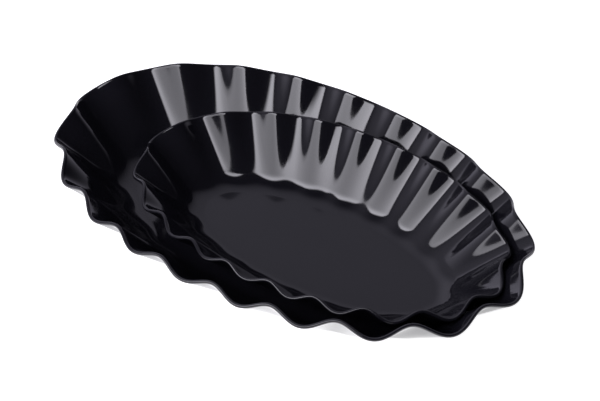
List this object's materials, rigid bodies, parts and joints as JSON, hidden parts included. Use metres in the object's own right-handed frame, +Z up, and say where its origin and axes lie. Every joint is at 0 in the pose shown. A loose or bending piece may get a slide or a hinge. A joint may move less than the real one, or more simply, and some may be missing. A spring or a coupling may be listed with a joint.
{
  "type": "nested oval serving dish set",
  "caption": "Two glossy black oval serving dishes with fluted flaring walls and scalloped rims, the smaller standing loose inside the larger.",
  "frame": {"origin": "middle of the large dish's flat base, on the surface that it stands on", "axes": "+X along the long axis towards the end where the small dish stands, +Z up"},
  "size_m": [0.3822, 0.2364, 0.0566],
  "materials": {
    "black_melamine": "high gloss moulded black, smooth"
  },
  "bodies": {
    "large_dish": {"large_dish": "black_melamine"},
    "small_dish": {"small_dish": "black_melamine"}
  },
  "joints": [
    {"name": "small_dish_lift", "type": "slide", "parent": "large_dish", "child": "small_dish", "axis": [0, 0, 1], "range_m": [0, 0.08]}
  ]
}
